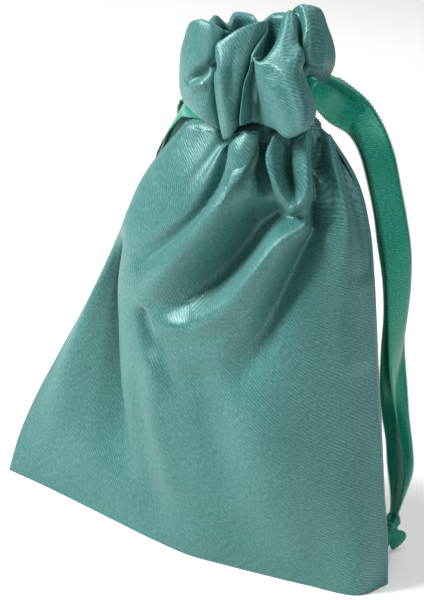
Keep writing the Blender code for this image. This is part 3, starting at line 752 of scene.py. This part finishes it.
def make_stage():
    bpy.ops.mesh.primitive_plane_add(size=FLOOR_SIDE)
    floor = bpy.context.object
    floor.name = "floor"
    material, nodes, _ = base_material("floor")
    shader = nodes["Principled BSDF"]
    shader.inputs["Base Color"].default_value = FLOOR_COLOUR
    shader.inputs["Roughness"].default_value = 0.9
    floor.data.materials.append(material)
    world = bpy.data.worlds.new("world")
    bpy.context.scene.world = world
    world.use_nodes = True
    sky = world.node_tree.nodes["Background"]
    sky.inputs["Color"].default_value = (1.0, 1.0, 1.0, 1.0)
    sky.inputs["Strength"].default_value = SKY_STRENGTH
    for light in LIGHTS:
        make_area_light(*light)
    bpy.context.scene.view_settings.view_transform = "Standard"


# ---- Ribbons ----------------------------------------------------------
# Where each ribbon goes: from inside the channel, out at the neck's end, and down to its knot.
# Its faces are the directions it faces, evenly spread along it.
RIBBONS = {
    "right_front": {
        "route": [(6, -4.6, 110.4), (11, -6, 111.4), (15.5, -6.8, 116), (17.5, -6.2, 115),
                  (19.6, -3.4, 112.7), (21.2, 1.4, 109.6), (24.8, 6, 106.4), (27.6, 9.4, 101),
                  (30.4, 10.8, 93.6), (32.8, 11.6, 86), (34.3, 12.2, 79.1), (36.3, 13, 70.8),
                  (37.7, 13.4, 62.3), (38.4, 14, 53.4), (39.6, 14.6, 45), (41.2, 15.4, 36.3),
                  (43.1, 16.2, 28.7), (44.4, 16.6, 21.5), (44.8, 16.6, 14), (44.7, 16.4, 9)],
        "faces": [(0.1, -0.95, 0.3), (0.4, -0.8, 0.4), (0.34, -0.93, 0.1), (0.8, -0.6, 0),
                  (0.8, -0.6, 0), (0, -1, 0), (0.5, -0.85, 0)],
    },
    "right_back": {
        "route": [(6, 4.6, 110.4), (11, 5.8, 111.6), (14.7, 6.4, 113.7), (17.3, 6.8, 113.3),
                  (20.4, 6.6, 111.7), (24.3, 6.2, 109), (28.1, 6, 104.7), (31.1, 6, 99.3),
                  (33.3, 6.6, 92.6), (35.5, 7.6, 85.5), (37.7, 8.6, 77.4), (38.9, 9.8, 68.8),
                  (39.6, 10.8, 59.9), (40.2, 11.6, 51.7), (41, 12.6, 43.1), (42.2, 13.4, 35.3),
                  (43.9, 14.2, 27.6), (44.9, 14.8, 21), (45.1, 15.4, 14.1), (44.8, 16, 9.2)],
        "faces": [(0.1, -0.9, 0.4), (0.45, -0.75, 0.5), (0.5, -0.85, 0.2), (0.8, -0.6, 0),
                  (1, -0.1, 0), (0.8, 0.6, 0), (0.6, 0.8, 0)],
    },
    "left_front": {
        "route": [(-2, -4.4, 104.9), (-7, -4.4, 103.9), (-12, -2.6, 103.4), (-14.8, 1, 102.6),
                  (-17.4, 4.2, 99.4), (-20, 6.8, 95), (-22.2, 8.8, 90.2), (-23.4, 10.4, 86),
                  (-24, 11.4, 81.5), (-24.6, 12.9, 75), (-25, 14.1, 66), (-25.3, 15.2, 54),
                  (-25.6, 16, 42), (-26, 16.6, 30), (-26.4, 17, 19), (-27, 17.4, 11.4),
                  (-27.3, 17.7, 9.4)],
        "faces": [(-0.7, -0.7, 0.2), (-0.94, -0.2, 0.3), (-0.94, 0.1, 0.1), (-0.4, 0.9, 0),
                  (-0.3, 0.95, 0), (0, 1, 0)],
    },
    "left_back": {
        "route": [(-2, 4.8, 104.9), (-7, 5.4, 103.9), (-13, 6.2, 103), (-16.3, 7.2, 101.4),
                  (-16.6, 8.6, 97.6), (-19, 10.2, 93), (-21, 12, 88), (-22.6, 13.8, 83),
                  (-23.6, 15.6, 78), (-24.2, 17, 72), (-25.7, 17.8, 66), (-27.1, 18.2, 54),
                  (-27.2, 18.5, 42), (-27.3, 18.7, 30), (-27.6, 18.7, 19), (-27.8, 18.6, 11.4),
                  (-27.5, 18.3, 9.4)],
        "faces": [(-0.2, 0.95, 0.2), (-0.8, 0.5, 0.2), (-0.7, 0.7, 0.1), (-0.2, 1, 0),
                  (0, 1, 0)],
    },
}
KNOTS = {"right": (44.7, 16.4, 8), "left": (-27.4, 18, 8)}
CUT_ENDS = {
    "right_first": [(44.3, 16.1, 6), (44.1, 16, 4.4), (43, 15.2, 2.6), (41.6, 14.2, 0.9)],
    "right_second": [(45.2, 16.8, 6), (45.5, 17.2, 4.4), (46.2, 18, 2.8), (46.6, 18.8, 1.2)],
    "left_first": [(-27.2, 17.9, 6), (-26.8, 17.6, 4.4), (-25.6, 16.8, 2.6), (-24.6, 16.2, 0.9)],
    "left_second": [(-27.8, 18.2, 6), (-28.2, 18.6, 4.4), (-29, 19.2, 2.8), (-29.4, 19.9, 1.2)],
}
# In the channel the ribbons lie one above the other, bunched, on an oval inside the neck.
CHANNEL_MIDDLE = 108.0
CHANNEL_HALF_WIDTH = 9.5
CHANNEL_HALF_DEPTH = 4.4
CHANNEL_SAMPLES = 80
STRING_STEP = 2.25
BUNCHED_WIDTH = 3.6
BUNCHED_CUP = 0.3
# Along a free ribbon: where it starts to spread out and over what length, where it leaves the
# neck, and how narrow it is drawn into its knot and over what length.
RIBBON_SAMPLES = 420
SPREAD_START = 8.0
SPREAD_LENGTH = 14.0
EXIT_LENGTH = 12.0
DRAWN_SHARE = 0.28
DRAWN_LENGTH = 16.0
FLAT_CUP = 0.06
ACROSS_SAMPLES = 9
# The loops of thread along the ribbons' edges.
PICOT_PITCH = 0.8
PICOT_REACH = 0.28
PICOT_RADIUS = 0.11
PICOT_SIDES = 4
PICOT_SAMPLES = 8


def ribbon_frame(route, faces):
    """Directions across the ribbon and out of its face at each point."""
    along = unit(np.gradient(route, axis=0))
    facing = hermite(np.linspace(0, 1, len(route)), np.linspace(0, 1, len(faces)), np.array(faces))
    across = unit(np.cross(along, facing))
    return across, np.cross(across, along)


def ribbon_surface(route, across, facing, halves, cup):
    """Rows of points across a ribbon, slightly cupped."""
    spread = np.linspace(-1, 1, ACROSS_SAMPLES)
    rows = route[:, None] + across[:, None] * (halves[:, None] * spread)[..., None]
    return rows + facing[:, None] * (cup * halves[:, None] * (1 - spread**2))[..., None]


def tube_faces(rings, sides, first):
    """The faces of a tube whose rings of points start at number first."""
    faces = []
    for ring in range(rings - 1):
        for side in range(sides):
            low = first + ring * sides
            nearby = (side + 1) % sides
            faces.append((low + side, low + nearby, low + sides + nearby, low + sides + side))
    return faces


def ring_points(line, radius, sides):
    """Rings of points round a line."""
    along = unit(np.gradient(line, axis=0))
    helper = np.where(np.abs(along[:, 2:3]) > 0.9, [[1.0, 0, 0]], [[0, 0, 1.0]])
    first = unit(np.cross(along, helper))
    second = np.cross(along, first)
    turn = np.arange(sides) * 2 * pi / sides
    return line[:, None] + radius * (first[:, None] * np.cos(turn)[None, :, None]
                                     + second[:, None] * np.sin(turn)[None, :, None])


def picot_lines(route, across, halves):
    """The small loops of thread along both edges."""
    length = arc_lengths(route)
    count = int(length[-1] / PICOT_PITCH * PICOT_SAMPLES)
    even = np.linspace(0, length[-1], count)
    centre = at_lengths(even, length, route)
    sideways = at_lengths(even, length, across)
    half = np.interp(even, length, halves)
    wave = 0.5 - 0.5 * np.cos(2 * pi * even / PICOT_PITCH)
    return [centre + sign * sideways * (half + PICOT_REACH * wave)[:, None] for sign in (-1, 1)]


def mesh_from(name, points, faces, uv=None):
    """A smooth mesh, with flat cloth coordinates when they are given."""
    mesh = bpy.data.meshes.new(name)
    mesh.from_pydata((np.asarray(points) * MM).tolist(), [], faces)
    mesh.shade_smooth()
    if uv is not None:
        layer = mesh.uv_layers.new(name="ClothUV")
        corners = np.array([loop.vertex_index for loop in mesh.loops])
        layer.data.foreach_set("uv", (np.asarray(uv) * MM)[corners].astype(np.float32).ravel())
    return mesh


def strip_parts(rows, thickness, facing):
    """Points, faces and flat coordinates of a closed thin band over rows of points."""
    count, wide = rows.shape[:2]
    lift = facing[:, None] * thickness / 2
    points = np.concatenate([(rows + lift).reshape(-1, 3), (rows - lift).reshape(-1, 3)])
    faces = []
    under = count * wide
    for row in range(count - 1):
        for column in range(wide - 1):
            a = row * wide + column
            faces.append((a, a + 1, a + wide + 1, a + wide))
            faces.append((under + a + wide, under + a + wide + 1, under + a + 1, under + a))
    first_column = range(0, under, wide)
    last_column = range(wide - 1, under, wide)
    first_row = range(wide)
    last_row = range(under - wide, under)
    for line, flip in ((first_column, False), (last_column, True), (first_row, True), (last_row, False)):
        for low, high in zip(line, line[1:]):
            quad = (low, high, under + high, under + low)
            faces.append(quad[::-1] if flip else quad)
    along = arc_lengths(rows[:, wide // 2])[:, None] * np.ones((1, wide))
    flat = np.stack([running_lengths(rows), along], 2).reshape(-1, 2)
    return points, faces, np.concatenate([flat, flat])


def make_ribbon(word, face, material):
    """One free ribbon, from inside the channel to its knot."""
    name = f"{word}_{face}"
    route = smooth_route(RIBBONS[name]["route"], RIBBON_SAMPLES)
    across, facing = ribbon_frame(route, RIBBONS[name]["faces"])
    length = arc_lengths(route)
    opening = ease((length - SPREAD_START) / SPREAD_LENGTH)
    drawn = DRAWN_SHARE + (1 - DRAWN_SHARE) * ease((length[-1] - length) / DRAWN_LENGTH)
    halves = (BUNCHED_WIDTH + (RIBBON_WIDTH - BUNCHED_WIDTH) * opening) / 2 * drawn
    rows = ribbon_surface(route, across, facing, halves, FLAT_CUP + BUNCHED_CUP * (1 - opening[:, None]))
    points, faces, flat = strip_parts(rows, RIBBON_THICKNESS, facing)
    shown = length > EXIT_LENGTH
    for line in picot_lines(route[shown], across[shown], halves[shown]):
        rings = ring_points(line, PICOT_RADIUS, PICOT_SIDES)
        faces += tube_faces(len(line), PICOT_SIDES, len(points))
        points = np.concatenate([points, rings.reshape(-1, 3)])
        flat = np.concatenate([flat, np.zeros((len(line) * PICOT_SIDES, 2))])
    mesh = mesh_from(f"{name}_ribbon", points, faces, flat)
    piece = add_object(f"{name}_ribbon", mesh, material)
    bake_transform(piece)
    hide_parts(f"{word}_ribbon_{face}_lead", f"{word}_ribbon_{face}_strand")
    return piece, route


KNOT_RINGS = 120
KNOT_SIDES = 14
KNOT_SIZES = (1.25, 0.65, 1.75)
KNOT_BAND_HALF_WIDTH = 1.35
KNOT_BAND_HALF_DEPTH = 0.62
KNOT_CREASE_DEPTH = 0.10
KNOT_CREASES = 5
KNOT_UV_WIDTH = 1.2


def knot_line(centre):
    """The centre line of a pulled-tight overhand knot."""
    turn = np.linspace(0, 2 * pi, KNOT_RINGS)
    x = (np.sin(turn) + 2 * np.sin(2 * turn)) / 3
    y = np.sin(3 * turn)
    z = (np.cos(turn) - 2 * np.cos(2 * turn)) / 3
    return np.array(centre) + np.stack([x, y, z], 1) * KNOT_SIZES


def make_knot(word, material):
    line = knot_line(KNOTS[word])
    along = unit(np.gradient(line, axis=0))
    sideways = unit(np.cross(along, line - np.array(KNOTS[word])))
    normal = np.cross(sideways, along)
    turn = np.arange(KNOT_SIDES) * 2 * pi / KNOT_SIDES
    crease = 1 + KNOT_CREASE_DEPTH * np.cos(KNOT_CREASES * turn)
    wide = KNOT_BAND_HALF_WIDTH * crease * np.cos(turn)
    deep = KNOT_BAND_HALF_DEPTH * crease * np.sin(turn)
    points = line[:, None] + (sideways[:, None] * wide[None, :, None] + normal[:, None] * deep[None, :, None])
    flat = np.stack([np.tile(turn * KNOT_UV_WIDTH, (KNOT_RINGS, 1)),
                     arc_lengths(line)[:, None] * np.ones((1, KNOT_SIDES))], 2)
    faces = tube_faces(KNOT_RINGS, KNOT_SIDES, 0)
    mesh = mesh_from(f"{word}_knot", points.reshape(-1, 3), faces, flat.reshape(-1, 2))
    piece = add_object(f"{word}_knot", mesh, material)
    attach(piece, f"{word}_tail")
    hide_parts(f"{word}_ribbon_knot")
    return piece


CUT_END_FACES = {
    "first": [(0.3, -0.95, 0.2), (0.2, -0.9, 0.4)],
    "second": [(0.5, -0.8, 0.2), (0.7, -0.6, 0.4)],
}
CUT_END_SAMPLES = 24
CUT_END_START = 0.8
CUT_END_HALF_WIDTH = 0.40 * RIBBON_WIDTH
CUT_END_SPREAD = 1.3
CUT_END_CUP = 0.18


def make_cut_end(word, number, material):
    """The short end of a ribbon below its knot."""
    name = f"{word}_{number}"
    route = smooth_route(CUT_ENDS[name], CUT_END_SAMPLES)
    across, facing = ribbon_frame(route, CUT_END_FACES[number])
    opening = ease(np.linspace(0, CUT_END_SPREAD, len(route)))
    halves = CUT_END_START + (CUT_END_HALF_WIDTH - CUT_END_START) * opening
    rows = ribbon_surface(route, across, facing, halves, np.full((len(route), 1), CUT_END_CUP))
    points, faces, flat = strip_parts(rows, RIBBON_THICKNESS, facing)
    points[:, 2] = np.maximum(points[:, 2], RIBBON_THICKNESS / 2)
    piece = add_object(f"{name}_cut_end", mesh_from(name, points, faces, flat), material)
    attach(piece, f"{word}_tail")
    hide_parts(f"{word}_ribbon_{number}_end")
    return piece


def make_channel_loop(word, side, material):
    """The stretch of ribbon that stays inside the channel, drawn in with the neck."""
    angle = np.radians(np.linspace(0, 180, CHANNEL_SAMPLES) + 90 * side)
    x = NECK_CENTRE[0] + CHANNEL_HALF_WIDTH * np.cos(angle)
    y = CHANNEL_HALF_DEPTH * np.sin(angle)
    z = CHANNEL_MIDDLE + side * STRING_STEP + neck_height(x)
    route = np.stack([x, y, z], 1)
    up = np.tile([0.0, 0.0, 1.0], (CHANNEL_SAMPLES, 1))
    facing = np.stack([np.cos(angle), np.sin(angle), 0 * angle], 1)
    halves = np.full(CHANNEL_SAMPLES, BUNCHED_WIDTH / 2)
    rows = ribbon_surface(route, up, facing, halves, np.full((CHANNEL_SAMPLES, 1), BUNCHED_CUP))
    points, faces, flat = strip_parts(rows, RIBBON_THICKNESS, facing)
    piece = add_object(f"{word}_channel_loop", mesh_from(word, points, faces, flat), material)
    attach(piece, "sack")
    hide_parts(f"{word}_ribbon_channel_loop")


def build_drawstrings(material):
    for word, side in (("right", 1), ("left", -1)):
        make_channel_loop(word, side, material)
        pieces_on_it = [make_knot(word, material), make_cut_end(word, "first", material),
                        make_cut_end(word, "second", material)]
        for face in ("front", "back"):
            piece, route = make_ribbon(word, face, material)


# ---- Seams and stitches -----------------------------------------------
# Each row of stitches follows one of the header's rows, this far above the neck's foot.
STITCH_ROWS = {"lower": 2, "upper": 22}
STITCH_LENGTH = 1.9
STITCH_GAP = 0.7
STITCH_RADIUS = 0.13
STITCH_LIFT = 0.12
STITCH_DIP = 0.30
STITCH_MARGIN = 1.0
STITCH_RINGS = 7
STITCH_SIDES = 6
SEAM_DEPTH = 2.5
SEAM_THICKNESS = 0.7
SEAM_SAMPLES = 220
# The overcast edge waves by this much, once in each pitch.
OVERCAST_WAVE = 0.18
OVERCAST_PITCH = 1.3
# The side seams lie just inside the edges, and turn in further at the base.
SIDE_SEAM_HEIGHTS = (4.0, 90.0)
SIDE_SEAM_INSET = 0.9
SIDE_SEAM_BASE_INSET = 1.6
SIDE_SEAM_TURN_TOP = 10.0
SIDE_SEAM_TURN_LENGTH = 8.0
BOTTOM_SEAM_HALF_LENGTH = 42.0
BOTTOM_SEAM_HEIGHT = 0.9


def make_stitches(name, row, outward, material):
    """Separate stitches along a row of the cloth."""
    length = arc_lengths(row)
    line = row + outward * STITCH_LIFT
    points = np.zeros((0, 3))
    faces = []
    start = STITCH_MARGIN
    while start + STITCH_LENGTH < length[-1] - STITCH_MARGIN:
        even = np.linspace(start, start + STITCH_LENGTH, STITCH_RINGS)
        stitch = at_lengths(even, length, line)
        dip = STITCH_DIP * np.linspace(-1, 1, STITCH_RINGS) ** 4
        stitch -= at_lengths(even, length, outward) * dip[:, None]
        rings = ring_points(stitch, STITCH_RADIUS, STITCH_SIDES)
        faces += tube_faces(STITCH_RINGS, STITCH_SIDES, len(points))
        points = np.concatenate([points, rings.reshape(-1, 3)])
        start += STITCH_LENGTH + STITCH_GAP
    piece = add_object(f"{name}_thread", mesh_from(name, points, faces), material)
    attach(piece, "sack")
    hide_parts(name)


def make_inner_seam(name, line, inward, material):
    """The two panels' sewn edges, turned inside, with an overcast edge."""
    length = arc_lengths(line)
    wave = OVERCAST_WAVE * np.sin(2 * pi * length / OVERCAST_PITCH)
    depth = (SEAM_DEPTH + wave)[:, None] * np.linspace(0, 1, 5)
    rows = line[:, None] + np.array(inward) * depth[..., None]
    facing = np.tile([0.0, 1.0, 0.0], (len(line), 1))
    points, faces, flat = strip_parts(rows, SEAM_THICKNESS, facing)
    piece = add_object(f"{name}_edges", mesh_from(name, points, faces, flat), material)
    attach(piece, "sack")
    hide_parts(name)


def build_seams(material):
    heights = np.linspace(*SIDE_SEAM_HEIGHTS, SEAM_SAMPLES)
    edges = edges_at(heights)
    turn = ease((SIDE_SEAM_TURN_TOP - heights) / SIDE_SEAM_TURN_LENGTH)
    for word, column, side in (("left", 0, -1), ("right", 1, 1)):
        x = edges[:, column] - side * (SIDE_SEAM_INSET + SIDE_SEAM_BASE_INSET * turn)
        line = np.stack([x, 0 * heights, heights], 1)
        make_inner_seam(f"{word}_side_seam", line, (-side, 0.0, 0.0), material)
    x = np.linspace(-BOTTOM_SEAM_HALF_LENGTH, BOTTOM_SEAM_HALF_LENGTH, SEAM_SAMPLES)
    line = np.stack([x, 0 * x, np.full(SEAM_SAMPLES, BOTTOM_SEAM_HEIGHT)], 1)
    make_inner_seam("bottom_seam", line, (0.0, 0.0, 1.0), material)


# ---- Build ------------------------------------------------------------
def build_panel(face, material, thread):
    rows, body_rows = panel_rows(face)
    piece = add_object(f"{face}_cloth", grid_mesh(f"{face}_cloth", rows), material)
    solid = piece.modifiers.new("Thickness", "SOLIDIFY")
    solid.thickness = CLOTH_THICKNESS * MM
    solid.offset = -1.0
    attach(piece, "sack")
    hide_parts(f"{face}_panel")
    outward = outward_of(rows)
    for word, step in STITCH_ROWS.items():
        number = body_rows - 1 + step
        make_stitches(f"{face}_{word}_stitches", rows[number], outward[number], thread)


make_camera()
make_stage()
satin = satin_material()
ribbon = ribbon_material()
thread = thread_material()
build_panel("front", satin, thread)
build_panel("back", satin, thread)
build_seams(satin)
build_drawstrings(ribbon)
